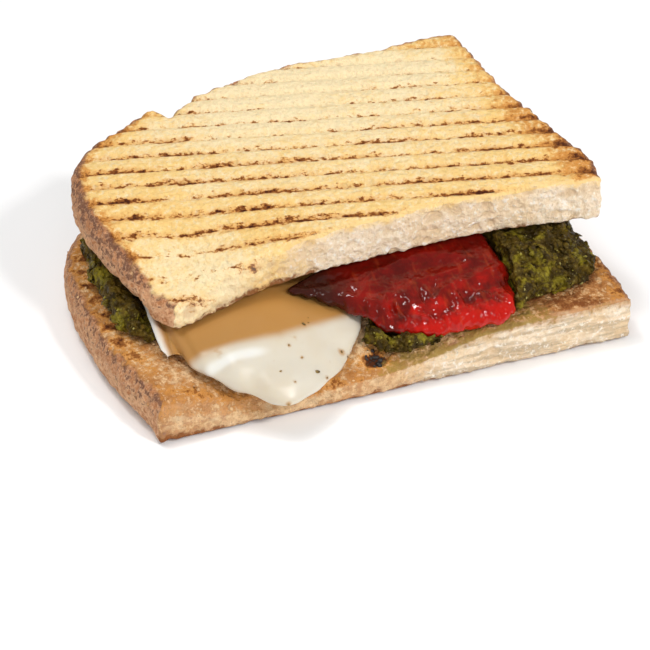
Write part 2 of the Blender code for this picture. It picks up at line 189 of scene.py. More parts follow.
def smooth_piece(data, passes):
    """Ease out the facets and steps of a mesh."""
    mesh = bmesh.new()
    mesh.from_mesh(data)
    for _ in range(passes):
        bmesh.ops.smooth_vert(
            mesh, verts=mesh.verts, factor=0.5, use_axis_x=True, use_axis_y=True, use_axis_z=True)
    mesh.to_mesh(data)
    mesh.free()
    data.shade_smooth()


def nearest_distance(points, targets):
    """Distance in millimetres, seen from above, from each point to the nearest target."""
    tree = KDTree(len(targets))
    for i, (x, y) in enumerate(targets[:, :2].tolist()):
        tree.insert((x, y, 0.0), i)
    tree.balance()
    return np.array([tree.find((x, y, 0.0))[2] for x, y in points[:, :2].tolist()])


def finish_piece(piece, recipe, slot, *nodes):
    """Give a piece its material and its place in the sandwich."""
    piece.data.materials.append(recipe.material)
    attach(piece, "root")
    if nodes:
        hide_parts(*nodes)


# ---------------------------------------------------------------- materials

class Recipe:
    """One food material, and short ways to add nodes to it."""

    def __init__(self, name):
        self.material = bpy.data.materials.new(name)
        self.material.use_nodes = True
        self.tree = self.material.node_tree
        self.shader = self.tree.nodes["Principled BSDF"]
        self.place = self.add("TexCoord").outputs["Object"]

    def add(self, kind):
        """A new shader node."""
        return self.tree.nodes.new("ShaderNode" + kind)

    def feed(self, value, socket):
        """Link a socket, or set a plain value."""
        if isinstance(value, bpy.types.NodeSocket):
            self.tree.links.new(value, socket)
        elif hasattr(value, "__len__") and len(value) == 3 and socket.type == "RGBA":
            socket.default_value = (*value, 1.0)
        else:
            socket.default_value = value

    def sum(self, operation, first, second=0.0, third=0.0):
        """A Math node."""
        node = self.add("Math")
        node.operation = operation
        for value, socket in zip((first, second, third), node.inputs):
            self.feed(value, socket)
        return node.outputs[0]

    def fade(self, value, low, high, start=0.0, end=1.0):
        """A smooth, clamped change from start to end as the value goes from low to high."""
        node = self.add("MapRange")
        node.interpolation_type = "SMOOTHSTEP"
        for name, part in (("Value", value), ("From Min", low), ("From Max", high),
                           ("To Min", start), ("To Max", end)):
            self.feed(part, node.inputs[name])
        return node.outputs[0]

    def tint(self, amount, under, over):
        """One colour laid over another."""
        node = self.add("Mix")
        node.data_type = "RGBA"
        node.clamp_factor = True
        self.feed(amount, node.inputs[0])
        self.feed(under, node.inputs[6])
        self.feed(over, node.inputs[7])
        return node.outputs[2]

    def stretched(self, scale, turn=0.0):
        """The place on the piece, turned about Z and then scaled along each axis."""
        node = self.add("Mapping")
        node.vector_type = "TEXTURE"
        node.inputs["Rotation"].default_value = (0.0, 0.0, -turn)
        node.inputs["Scale"].default_value = [1.0 / part for part in scale]
        self.feed(self.place, node.inputs["Vector"])
        return node.outputs[0]

    def grain(self, per_metre, detail=2.0, rough=0.5, place=None):
        """Noise of 0 to 1."""
        node = self.add("TexNoise")
        self.feed(place or self.place, node.inputs["Vector"])
        for name, value in (("Scale", per_metre), ("Detail", detail), ("Roughness", rough)):
            node.inputs[name].default_value = value
        return node.outputs[0]

    def cells(self, per_metre):
        """Distance to the nearest of many scattered points."""
        node = self.add("TexVoronoi")
        self.feed(self.place, node.inputs["Vector"])
        node.inputs["Scale"].default_value = per_metre
        return node.outputs["Distance"]

    def kept(self, name):
        """A number kept on the mesh."""
        node = self.add("Attribute")
        node.attribute_name = name
        return node.outputs["Fac"]

    def axes(self):
        """The place on the piece as three numbers."""
        node = self.add("SeparateXYZ")
        self.feed(self.place, node.inputs[0])
        return node.outputs

    def relief(self, height, depth, strength):
        """Bumps of the given depth in metres."""
        node = self.add("Bump")
        node.inputs["Strength"].default_value = strength
        node.inputs["Distance"].default_value = depth
        self.feed(height, node.inputs["Height"])
        return node.outputs[0]

    def surface(self, **values):
        """Set or link the shader's own sockets."""
        for name, value in values.items():
            self.feed(value, self.shader.inputs[name.replace("_", " ")])


def grill_line_distance(recipe, wobble):
    """Distance in millimetres from the middle of the nearest grill line."""
    x, y, _ = recipe.axes()
    across = recipe.sum("ADD", recipe.sum("MULTIPLY", x, math.sin(GRILL_ANGLE) / MM),
                        recipe.sum("MULTIPLY", y, math.cos(GRILL_ANGLE) / MM))
    wander = recipe.sum("MULTIPLY", recipe.sum("SUBTRACT", recipe.grain(150.0, 3.0), 0.5), wobble)
    turns = recipe.sum("DIVIDE", recipe.sum("ADD", across, wander), GRILL_PITCH)
    turns = recipe.sum("ADD", turns, 0.5 - GRILL_PHASE / GRILL_PITCH)
    offset = recipe.sum("ABSOLUTE", recipe.sum("SUBTRACT", recipe.sum("FRACT", turns), 0.5))
    return recipe.sum("MULTIPLY", offset, GRILL_PITCH)


def swing(recipe, noise_value, amount):
    """Noise of 0 to 1 turned into a swing either side of nothing."""
    return recipe.sum("MULTIPLY", recipe.sum("SUBTRACT", noise_value, 0.5), amount)


def bread_recipe(name, looks, tones, mottle, layered):
    """Grilled bread: toasted faces with charred lines, brown crust, and open crumb at the cut."""
    r = Recipe(name)
    pale, toasted, deep = tones
    into, rim, high, crush = r.kept("into"), r.kept("rim"), r.kept("high"), r.kept("crush")
    pore, char, toast, scorch = r.kept("pore"), r.kept("char"), r.kept("toast"), r.kept("scorch")
    fine = r.grain(1250.0, 3.0, 0.7)
    speck = r.grain(600.0, 4.0, 0.7)
    middle = r.grain(240.0, 4.0, 0.65)
    broad = r.grain(75.0, 3.0, 0.55)

    # Toasted faces.
    toasting = r.sum("ADD", toast, r.sum("ADD", swing(r, broad, mottle), swing(r, speck, 1.2 * mottle)))
    face = r.tint(r.fade(toasting, 0.0, 0.85), pale, toasted)
    face = r.tint(r.fade(toasting, 0.75, 1.35), face, deep)
    face = r.tint(r.fade(fine, 0.53, 0.68, 0.0, 0.28 * mottle), face, deep)
    face = r.tint(r.fade(speck, 0.48, 0.34, 0.0, 0.6), face, pale)
    # Painted shade: the face is darkened inside its pits.
    face = r.tint(r.fade(pore, 0.1, 0.9, 0.0, 0.7), face, looks.pore_shade_and_fleck_colour)

    # Grill lines: an orange glow, and rows of brown and burnt dots.
    line = grill_line_distance(r, 1.7)
    dots = r.grain(1.0, 3.0, 0.7, r.stretched((440.0, 720.0, 700.0), GRILL_ANGLE))
    stretches = r.grain(1.0, 2.0, 0.5, r.stretched((75.0, 150.0, 100.0), GRILL_ANGLE))
    lined = r.fade(char, 0.0, 0.08)
    burn = r.sum("ADD", char, swing(r, stretches, 1.7))
    glow = r.sum("MULTIPLY", r.fade(line, 0.2, 2.0, 1.0, 0.0), r.fade(burn, 0.2, 1.1, 0.0, 0.6))
    face = r.tint(r.sum("MULTIPLY", glow, lined), face, looks.halo_colour)
    reach = r.sum("ADD", r.sum("MULTIPLY_ADD", burn, 1.15, -0.48), swing(r, dots, 7.5))
    spread = r.sum("SUBTRACT", line, reach)
    for low, high_end, amount, colour in ((-0.1, 0.7, 0.75, looks.halo_colour),
                                          (-0.4, 0.15, 0.95, looks.brown_colour),
                                          (-1.3, -0.5, 0.95, looks.char_colour)):
        dotted = r.sum("MULTIPLY", r.fade(spread, low, high_end, amount, 0.0), lined)
        face = r.tint(dotted, face, colour)
    flecks = r.sum("ADD", swing(r, middle, 1.4), swing(r, speck, 2.6))
    # On the lower slice this also carries painted shade from the front dip.
    scorching = r.sum("MULTIPLY", scorch, r.fade(line, 0.4, 2.8, 1.25, 0.45))
    scorching = r.sum("ADD", scorching, r.sum("MULTIPLY", r.fade(scorch, 0.0, 0.35), flecks))
    for low, high_end, amount, colour in ((0.06, 0.60, 0.8, looks.halo_colour),
                                          (0.58, 0.92, 0.85, looks.brown_colour),
                                          (1.00, 1.30, 0.85, looks.char_colour)):
        face = r.tint(r.fade(scorching, low, high_end, 0.0, amount), face, colour)

    # Crust: dusty and reddish, with small dark patches, more of them towards the top.
    crust = r.tint(r.fade(r.sum("ADD", speck, swing(r, middle, 0.8)), 0.33, 0.67),
                   looks.crust_colour, looks.dusty_colour)
    patches = r.sum("ADD", flecks, r.fade(high, 0.35, 1.0, 0.0, 0.42))
    patches = r.sum("ADD", patches, r.sum("MULTIPLY", scorch, 0.25))
    crust = r.tint(r.fade(patches, 0.30, 0.62, 0.0, 0.85), crust, looks.scorched_crust_colour)
    crust = r.tint(r.fade(fine, 0.52, 0.68, 0.0, 0.6), crust, looks.dusty_colour)
    crust = r.tint(r.fade(fine, 0.46, 0.34, 0.0, 0.3), crust, looks.scorched_crust_colour)
    ragged = r.sum("ADD", rim, swing(r, middle, 4.5))
    whole = r.tint(r.fade(ragged, 0.3, 1.8, 1.0, 0.0), face, crust)

    # Crumb at the cut: pale and spongy, with painted shade in its hollows and pores.
    crumb = r.tint(r.fade(broad, 0.40, 0.62), looks.crumb_colour, looks.crumb_shade_colour)
    if layered:
        sheets = r.grain(1.0, 4.0, 0.6, r.stretched((40.0, 40.0, 420.0)))
        crumb = r.tint(r.fade(sheets, 0.43, 0.58, 0.0, 0.85), crumb, looks.crumb_layer_colour)
    sponge = r.cells(560.0)
    holes = r.sum("ADD", sponge, swing(r, fine, 1.0))
    # Painted shade in the spongy hollows and the pores; the darker flecks are the crumb's own tone.
    crumb = r.tint(r.fade(holes, 0.10, 0.40, 0.45, 0.0), crumb, looks.pore_shade_and_fleck_colour)
    crumb = r.tint(r.fade(speck, 0.49, 0.38, 0.0, 0.5), crumb, looks.pore_shade_and_fleck_colour)
    crumb = r.tint(r.fade(speck, 0.52, 0.64, 0.0, 0.85), crumb, looks.crumb_light_colour)
    crumb = r.tint(r.fade(pore, 0.05, 0.8, 0.0, 0.85), crumb, looks.pore_shade_and_fleck_colour)
    wavy = r.sum("ADD", high, r.sum("ADD", swing(r, middle, 0.5), swing(r, speck, 0.3)))
    crumb = r.tint(r.fade(wavy, 0.78, 1.0, 0.0, 0.85), crumb, toasted)
    at_cut = r.fade(r.sum("ADD", into, r.sum("ADD", swing(r, middle, 3.5), swing(r, speck, 2.0))),
                    0.6, 1.7, 1.0, 0.0)
    crushed = r.fade(r.sum("ADD", crush, swing(r, middle, 1.4)), 0.2, 0.8, 1.0, 0.12)
    whole = r.tint(r.sum("MULTIPLY", at_cut, crushed), whole, crumb)
    lower = r.sum("SUBTRACT", wavy, r.sum("MULTIPLY", crush, 0.18))
    at_edge = r.sum("MULTIPLY", at_cut, r.fade(lower, -0.04, 0.10, 0.9, 0.0))
    whole = r.tint(at_edge, whole, looks.brown_colour)
    stain = r.sum("ADD", r.kept("stain"), r.sum("ADD", swing(r, speck, 1.8), swing(r, middle, 2.0)))
    stained = r.sum("MULTIPLY", r.fade(stain, 0.3, 1.0, 0.0, 0.8), r.fade(r.kept("stain"), 0.0, 0.3))
    whole = r.tint(stained, whole, looks.stain_colour)

    height = r.sum("ADD", r.sum("MULTIPLY", fine, 0.6), r.sum("MULTIPLY", sponge, 0.6))
    height = r.sum("ADD", height, r.sum("ADD", speck, middle))
    r.surface(Base_Color=whole, Roughness=r.fade(middle, 0.3, 0.7, 0.62, 0.82),
              Normal=r.relief(height, 0.0016, 0.8))
    r.shader.inputs["Specular IOR Level"].default_value = 0.12
    r.shader.inputs["Subsurface Weight"].default_value = 0.08
    r.shader.inputs["Subsurface Radius"].default_value = (1.0, 0.6, 0.35)
    r.shader.inputs["Subsurface Scale"].default_value = 0.0015
    return r


# ---------------------------------------------------------------- bread

def slice_facts(node, points, normals):
    """How far each vertex is from the cut and from the crust, and how high it is in the slice."""
    upright = np.abs(normals[:, 2]) < 0.55
    cut_face = upright & (normals[:, 1] < -0.8)
    crust_face = upright & ~cut_face
    into = nearest_distance(points, points[cut_face])
    rim = nearest_distance(points, points[crust_face])
    solid = merged_copy(node)
    tree = BVHTree.FromBMesh(solid)
    solid.free()
    high = np.empty(len(points))
    inward = points - 1.6 * normals * (upright[:, None])
    for i, (x, y, z) in enumerate((inward * MM).tolist()):
        top = tree.ray_cast(Vector((x, y, 0.2)), Vector((0.0, 0.0, -1.0)))[0]
        low = tree.ray_cast(Vector((x, y, -0.2)), Vector((0.0, 0.0, 1.0)))[0]
        high[i] = (z - low.z) / max(top.z - low.z, MM) if top and low else 0.5
    return into, rim, high


def open_pores(points, normals, faces, count, radii, stretch, seed):
    """Hollow out round pits at random places on the chosen vertices; returns how deep each one is."""
    chance = random.Random(seed)
    chosen = np.flatnonzero(faces).tolist()
    tree = KDTree(len(chosen))
    for i in chosen:
        tree.insert(points[i], i)
    tree.balance()
    depth = np.zeros(len(points))
    start = points.copy()
    for _ in range(count):
        centre = start[chance.choice(chosen)]
        radius = radii[0] + (radii[1] - radii[0]) * chance.random() ** 3.0
        for _, i, _ in tree.find_range(centre, radius * stretch):
            offset = start[i] - centre
            flat = math.hypot(offset[0], offset[1]) / stretch
            away = math.hypot(flat, offset[2]) / radius
            if away < 1.0:
                depth[i] = max(depth[i], radius * 0.5 * (1.0 - away ** 2.0) ** 0.6)
    points -= normals * depth[:, None]
    return np.clip(depth / 0.8, 0.0, 1.0)


def keep_bread_values(mesh, **values):
    """Write down everything that the bread's material reads."""
    for name, numbers in values.items():
        write_value(mesh, name, np.broadcast_to(numbers, len(mesh.vertices)))


def roughen(points, normals, rim, into, seed):
    """Uneven bread: a little everywhere, more on the crust and at the torn edges of the cut."""
    side = 1.0 - ease(rim, 0.5, 3.5)
    torn = 1.0 - ease(into, 0.3, 1.5)
    rough = 0.16 * unevenness(points, 1.5, seed) + 0.20 * unevenness(points, 5.0, seed + 1)
    rough += side * (0.42 * unevenness(points, 2.0, seed + 2) + 0.40 * unevenness(points, 8.0, seed + 3))
    rough += torn * (0.42 * unevenness(points, 1.8, seed + 4) + 0.34 * unevenness(points, 4.0, seed + 5))
    return normals * rough[:, None]


def make_lid(looks):
    """Upper slice: grill lines over a cream top, browned at its edges, with open crumb at the cut."""
    piece = fine_copy("bread_top", "grilled_lid", looks.bread_grain, 3)
    mesh = piece.data
    points, normals = read_points(mesh), read_normals(mesh)
    into, rim, high = slice_facts("bread_top", points, normals)
    x, y = points[:, 0].copy(), points[:, 1].copy()
    on_top = (normals[:, 2] > 0.6) & (into > 1.0)
    crumbly = (into < 0.4) & (np.abs(normals[:, 2]) < 0.7)
    pore = open_pores(points, normals, crumbly, looks.pore_count, (0.5, 1.8), 1.3, 11)
    pits = open_pores(points, normals, on_top, looks.pore_count, (0.4, 1.4), 1.2, 12)
    dent = 1.0 - ease(np.hypot((x - LID_HOLE.x) / 1.4, y - LID_HOLE.y), 0.5, 1.7)
    points -= normals * dent[:, None]
    pits = np.maximum(pits, 1.6 * dent)
    points += roughen(points, normals, rim, into, 1)
    write_points(mesh, points)

    droop = np.hypot(x - DROOP.x, y - DROOP.y)
    right = ease(x, 42.0, 74.0)
    front = 1.0 - ease(y, -24.0, 24.0)
    left = 1.0 - ease(x, -62.0, 0.0)
    top = ease(normals[:, 2], 0.2, 0.6)
    patchy = unevenness(points * np.array([1.0, 1.0, 0.0]), 24.0, 17)
    char = 0.42 + 0.34 * left + 0.34 * front + 0.12 * right + 0.35 * patchy
    char -= 0.40 * ease(y, 14.0, 42.0) * (1.0 - left)
    char *= 0.30 + 0.70 * ease(droop, 17.0, DROOP_REACH)
    edge_right = (1.0 - ease(rim, 1.0, 18.0)) * ease(x, 30.0, 60.0)
    edge_left = (1.0 - ease(rim, 0.5, 7.0)) * (1.0 - ease(x, -45.0, -20.0))
    edge_back = (1.0 - ease(rim, 0.5, 7.0)) * ease(y, 40.0, 52.0)
    toast = 0.36 + 0.28 * left + 0.26 * front + 0.7 * edge_right + 0.4 * edge_left + 0.25 * edge_back
    toast -= 0.35 * ease(y, 10.0, 45.0) * (1.0 - right) * (1.0 - left)
    toast *= 0.3 + 0.7 * ease(droop, 12.0, 34.0)
    scorch = (1.0 - ease(rim, 0.0, 13.0)) * ease(x, 30.0, 56.0) * (1.20 - 0.90 * ease(y, -24.0, 42.0))
    scorch += 0.75 * (1.0 - ease(rim, 0.0, 5.5)) * (1.0 - ease(x, -50.0, -25.0)) * ease(droop, 8.0, 20.0)
    keep_bread_values(
        mesh, into=into, rim=rim + 3.0 * (1.0 - ease(into, 0.2, 1.0)), high=high,
        pore=np.maximum(pore, 0.6 * pits), char=np.clip(char, 0.02, 1.0) * top, toast=toast,
        scorch=scorch, crush=1.0 - ease(x, -34.0, -4.0), stain=0.0)
    tones = (looks.cream_colour, looks.toast_colour, looks.halo_colour)
    recipe = bread_recipe("grilled_bread", looks, tones, 1.0, False)
    finish_piece(piece, recipe, "grilled_bread", "bread_top")


def make_base(looks):
    """Lower slice: toasted inside, brown crust, crumb at the cut and grill lines underneath."""
    piece = fine_copy("bread_bottom", "grilled_base", looks.bread_grain * 1.08, 3)
    mesh = piece.data
    points, normals = read_points(mesh), read_normals(mesh)
    into, rim, high = slice_facts("bread_bottom", points, normals)
    x, y = points[:, 0].copy(), points[:, 1].copy()
    under = normals[:, 2] < -0.7
    top = normals[:, 2] > 0.6
    crumbly = (into < 0.4) & (np.abs(normals[:, 2]) < 0.7)
    pore = open_pores(points, normals, crumbly, looks.pore_count, (0.4, 1.4), 2.0, 21)
    pits = open_pores(points, normals, top, 2 * looks.pore_count, (0.4, 1.3), 1.2, 22)
    rough = roughen(points, normals, rim, into, 5)
    rough += normals * (0.30 * unevenness(points, 2.6, 9) * top)[:, None]
    points += rough * ~under[:, None]
    across = x * math.sin(GRILL_ANGLE) + y * math.cos(GRILL_ANGLE) - GRILL_PHASE
    offset = np.abs(across - GRILL_PITCH * np.round(across / GRILL_PITCH))
    points[:, 2] += under * UNDERSIDE_GROOVE * (1.0 - ease(offset, 0.4, 1.5))
    points[:, 2] = np.maximum(points[:, 2], 0.0)
    write_points(mesh, points)

    below = ease(-normals[:, 2], 0.3, 0.7)
    above = ease(normals[:, 2], 0.2, 0.6)
    left = 1.0 - ease(x, -62.0, 10.0)
    crush = 1.0 - ease(x, -8.0, 26.0)
    # A dip at the front edge below the cheese and tomato: browner toast, and painted shade beneath the
    # fillings.
    dip_toast_and_shade = np.exp(-((x + 56.0) / 13.0) ** 2) + np.exp(-((x + 14.0) / 16.0) ** 2)
    dip_toast_and_shade *= 1.0 - ease(y, -50.0, -38.0)
    right = ease(x, 14.0, 34.0)
    toast = above * 0.30 + 0.22 * left + below * 0.5 + 0.30 * (1.0 - ease(rim, 0.5, 5.0)) + 0.45 * dip_toast_and_shade
    toast += above * (0.65 * right + 0.15 * dip_toast_and_shade)
    near_pesto = np.exp(-((rim - 4.0) / 2.6) ** 2) * ease(y, -38.0, -22.0)
    # The dip's term paints shade beneath the fillings; the rest is scorching.
    scorch = above * left * (0.14 + 0.70 * near_pesto) + (0.14 + 0.34 * above) * dip_toast_and_shade
    scorch += above * 0.75 * (1.0 - ease(rim, 1.0, 8.0)) * ease(x, 36.0, 56.0)
    charred = np.exp(-(np.hypot(x - CHAR_SPOT.x, y - CHAR_SPOT.y) / CHAR_REACH) ** 2)
    scorch += above * 2.2 * charred
    front_top = above * (1.0 - ease(y, -47.0, -36.0)) * ease(x, -12.0, 2.0) * (1.0 - ease(x, 40.0, 56.0))
    on_cut = (1.0 - ease(into, 0.3, 1.2)) * ease(high, 0.45, 0.95) * ease(x, -2.0, 20.0)
    stain = 0.75 * front_top + 0.55 * on_cut * np.clip(unevenness(points, 9.0, 31) + 0.7, 0.0, 1.0)
    stain *= 1.0 - charred
    keep_bread_values(
        mesh, into=into, rim=rim + 3.0 * (1.0 - ease(into, 0.2, 1.0)), high=high,
        pore=np.maximum(pore, 0.6 * pits), char=0.75 * below, toast=toast, scorch=scorch, crush=crush,
        stain=stain)
    tones = (looks.inner_pale_colour, looks.inner_toast_colour, looks.inner_deep_colour)
    recipe = bread_recipe("crust_bread", looks, tones, 1.7, True)
    finish_piece(piece, recipe, "crust_bread", "bread_bottom")


# ---------------------------------------------------------------- fillings

def make_mozzarella(looks):
    """Molten cheese: smooth and glossy, tan where it meets the hot lid from browning and painted shade of
    the lid, a painted highlight along its roll, creased at its left lobe.
    """
    piece = fine_copy("mozzarella", "melted_mozzarella", CHEESE_GRAIN, 16)
    mesh = piece.data
    points, normals = read_points(mesh), read_normals(mesh)
    x, y, z = points.T.copy()
    swell = 0.30 * unevenness(points, 15.0, 41)
    lobe = (1.0 - ease(x, -54.0, -48.0)) * (1.0 - ease(y, -20.0, -8.0))
    folds = 0.22 * np.sin(1.9 * x + 0.5 * z) - 1.5 * np.exp(-((x - CHEESE_CREASE_X) / 1.1) ** 2)
    points += normals * (swell + lobe * folds)[:, None]
    write_points(mesh, points)
    smooth_piece(mesh, 2)
    # The tan band towards the lid is partly browning and partly painted shade of the lid.
    roll_y = CHEESE_ROLL_Y + 0.3 * np.maximum(x + 28.0, 0.0)
    write_value(mesh, "browning_and_lid_shade", ease(y - roll_y, -2.0, 4.5) * ease(x, -60.0, -55.0))
    # Painted highlight: a paler band along the cheese's roll stands in for gloss; the whiter left lobe is
    # the cheese's own colour.
    crest = np.exp(-((y - roll_y + 2.6) / 1.8) ** 2) * ease(x, -54.0, -48.0) * (1.0 - ease(x, -38.0, -28.0))
    write_value(mesh, "white_lobe_and_painted_highlight", np.maximum(crest, 1.0 - ease(x, -56.0, -50.0)))
    write_value(mesh, "spot", spotted(points, normals, looks.spice_count))

    r = Recipe("mozzarella")
    streaks = r.grain(1.0, 3.0, 0.5, r.stretched((60.0, 90.0, 260.0)))
    broad = r.grain(60.0, 3.0, 0.5)
    spots = r.grain(160.0, 3.0, 0.6)
    colour = r.tint(r.fade(broad, 0.35, 0.7), looks.cheese_colour, looks.cheese_shade_colour)
    colour = r.tint(r.fade(spots, 0.62, 0.76, 0.0, 0.45), colour, looks.browned_and_shaded_cheese_colour)
    # Paler colour for the painted highlight along the roll, and for the whiter left lobe.
    colour = r.tint(r.fade(r.kept("white_lobe_and_painted_highlight"), 0.2, 1.0, 0.0, 0.7), colour, looks.white_lobe_and_highlight_cheese_colour)
    browning_and_lid_shade = r.sum("ADD", r.kept("browning_and_lid_shade"), swing(r, streaks, 0.25))
    colour = r.tint(r.fade(browning_and_lid_shade, 0.05, 0.9, 0.0, 0.97), colour, looks.browned_and_shaded_cheese_colour)
    spot = r.sum("ADD", r.kept("spot"), swing(r, r.grain(700.0), 0.5))
    colour = r.tint(r.fade(spot, 0.25, 1.0, 0.0, 0.9), colour, looks.browned_and_shaded_cheese_colour)
    r.surface(Base_Color=colour, Roughness=r.fade(streaks, 0.3, 0.7, 0.28, 0.40),
              Normal=r.relief(r.sum("ADD", streaks, broad), 0.0003, 0.15))
    r.shader.inputs["Specular IOR Level"].default_value = 0.5
    r.shader.inputs["Subsurface Weight"].default_value = 0.3
    r.shader.inputs["Subsurface Radius"].default_value = (1.0, 0.8, 0.5)
    r.shader.inputs["Subsurface Scale"].default_value = 0.003
    r.shader.inputs["Coat Weight"].default_value = 0.05
    r.shader.inputs["Coat Roughness"].default_value = 0.3
    finish_piece(piece, r, "mozzarella", "mozzarella")


def spotted(points, normals, count):
    """1 at a few random vertices on the cheese's open side, fading to 0 around each."""
    chance = random.Random(74)
    x, y, _ = points.T
    open_side = (normals[:, 2] > 0.1) & (x > -34.0) & (y < -32.0 - 0.5 * np.abs(x + 16.0))
    chosen = np.flatnonzero(open_side).tolist()
    spot = np.zeros(len(points))
    for _ in range(count):
        centre = points[chance.choice(chosen)]
        reach = 1.0 + 1.5 * chance.random() ** 2.0
        spot = np.maximum(spot, 1.0 - np.linalg.norm(points - centre, axis=1) / reach)
    return spot


def make_tomato(looks):
    """Semi-dried tomato: wrinkles running down an oily red skin, black at its left end."""
    piece = fine_copy("tomato", "dried_tomato", TOMATO_GRAIN, 6)
    mesh = piece.data
    points, normals = read_points(mesh), read_normals(mesh)
    low, high = (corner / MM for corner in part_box("tomato"))
    x, y, z = points.T.copy()
    height = (z - low.z) / (high.z - low.z)
    wander = np.stack([unevenness(points, 9.0, 51), unevenness(points, 9.0, 52),
                       unevenness(points, 9.0, 56)], axis=1)
    down = points * np.array([1.0, 0.40, 0.45]) + 1.5 * wander
    along = points * np.array([0.35, 0.9, 0.9]) + 2.0 * wander
    lower = 1.0 - ease(height, 0.55, 0.85)
    crests = lower * (0.75 * ridges(down, 3.8, 53) + 0.45 * ridges(down, 1.9, 54))
    crests += 0.75 * ridges(along, 6.5, 55) + 0.18 * ridges(points, 1.5, 57)
    outside = 1.0 - ease(y, LID_FRONT_Y - 1.0, LID_FRONT_Y + 3.0)
    points += normals * ((crests - 1.0) * (0.3 + 0.9 * outside))[:, None]
    write_points(mesh, points)
    smooth_piece(mesh, 1)
    write_value(mesh, "crest", np.clip(crests / 1.5, 0.0, 1.0))
    write_value(mesh, "bright", (1.0 - ease(height, 0.25, 0.85)) * ease(x, low.x + 16.0, low.x + 32.0))
    write_value(mesh, "black", 1.0 - ease(x, low.x + 6.0, low.x + 24.0))

    r = Recipe("tomato")
    mottle = r.grain(200.0, 4.0, 0.6)
    fine = r.grain(800.0, 3.0, 0.6)
    threads = r.grain(1.0, 1.0, 0.4, r.stretched((550.0, 160.0, 160.0)))
    colour = r.tint(r.fade(mottle, 0.3, 0.7), looks.tomato_dark_and_crease_shade_colour, looks.tomato_colour)
    lit = r.sum("ADD", r.kept("bright"), swing(r, mottle, 1.6))
    colour = r.tint(r.fade(lit, 0.25, 0.95), colour, looks.tomato_bright_colour)
    # Painted shade: the skin is darkened in the valleys between its wrinkles.
    colour = r.tint(r.fade(r.kept("crest"), 0.1, 0.6, 0.45, 0.0), colour, looks.tomato_dark_and_crease_shade_colour)
    colour = r.tint(r.fade(threads, 0.6, 0.75, 0.0, 0.12), colour, looks.tomato_thread_colour)
    black = r.sum("ADD", r.kept("black"), swing(r, mottle, 0.8))
    colour = r.tint(r.fade(black, 0.25, 0.95, 0.0, 0.92), colour, looks.tomato_black_colour)
    r.surface(Base_Color=colour, Roughness=r.fade(fine, 0.3, 0.7, 0.08, 0.15),
              Normal=r.relief(threads, 0.0004, 0.3))
    r.shader.inputs["Specular IOR Level"].default_value = 0.3
    r.shader.inputs["Subsurface Weight"].default_value = 0.1
    r.shader.inputs["Subsurface Radius"].default_value = (1.0, 0.12, 0.06)
    r.shader.inputs["Subsurface Scale"].default_value = 0.002
    finish_piece(piece, r, "tomato", "tomato")


def make_pesto(looks):
    """Coarse green pesto: lumpy, oily, with painted shade in its hollows."""
    piece = fine_copy("pesto", "pesto_bed", PESTO_GRAIN, 3)
    mesh = piece.data
    points, normals = read_points(mesh), read_normals(mesh)
    lumps = 1.2 * unevenness(points, 3.0, 61) + 0.6 * unevenness(points, 1.5, 62)
    lumps += 1.6 * unevenness(points, 6.5, 63)
    points += normals * lumps[:, None]
    write_points(mesh, points)
    write_value(mesh, "lump", lumps)
    finish_piece(piece, pesto_recipe("pesto", looks, True), "pesto", "pesto")


def pesto_recipe(name, looks, paint_hollow_shade):
    """Basil green with yellow oil and darker leaf, wet."""
    r = Recipe(name)
    leaf = r.grain(420.0, 4.0, 0.65)
    broad = r.grain(110.0, 3.0, 0.5)
    flakes = r.cells(650.0)
    colour = r.tint(r.fade(leaf, 0.35, 0.65), looks.pesto_dark_and_hollow_shade_colour, looks.pesto_colour)
    colour = r.tint(r.fade(r.sum("ADD", broad, swing(r, leaf, 0.6)), 0.50, 0.68, 0.0, 0.8), colour,
                    looks.pesto_oily_colour)
    # Painted shade: the pesto is darkened in the hollows between its lumps.
    if paint_hollow_shade:
        colour = r.tint(r.fade(r.kept("lump"), -1.2, 0.2, 0.9, 0.0), colour, looks.pesto_dark_and_hollow_shade_colour)
    colour = r.tint(r.fade(flakes, 0.10, 0.30, 0.25, 0.0), colour, looks.pesto_grain_colour)
    r.surface(Base_Color=colour, Roughness=r.fade(leaf, 0.3, 0.7, 0.32, 0.55),
              Normal=r.relief(r.sum("ADD", leaf, flakes), 0.0016, 0.9))
    r.shader.inputs["Specular IOR Level"].default_value = 0.18
    return r


# ---------------------------------------------------------------- scattered bits

def outer_spots(piece, count, seed, keep):
    """Random places on a piece's surface that look outwards into open air."""
    chance = random.Random(seed)
    mesh = piece.data
    faces = [face for face in mesh.polygons if keep(face.center / MM, face.normal)]
    shells = [other for other in bpy.context.scene.objects
              if other.type == "MESH" and not other.hide_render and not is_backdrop(other)]
    trees = []
    for shell in shells:
        solid = bmesh.new()
        solid.from_mesh(shell.data)
        trees.append(BVHTree.FromBMesh(solid))
        solid.free()
    spots = []
    for _ in range(count * 6):
        if len(spots) == count:
            break
        face = faces[chance.randrange(len(faces))]
        start = face.center + face.normal * 0.4 * MM
        aim = (face.normal + Vector((0.0, -0.25, 0.35))).normalized()
        if all(tree.ray_cast(start, aim, LOOK_OUT * MM)[0] is None for tree in trees):
            spots.append((face.center.copy(), face.normal.copy()))
    return spots


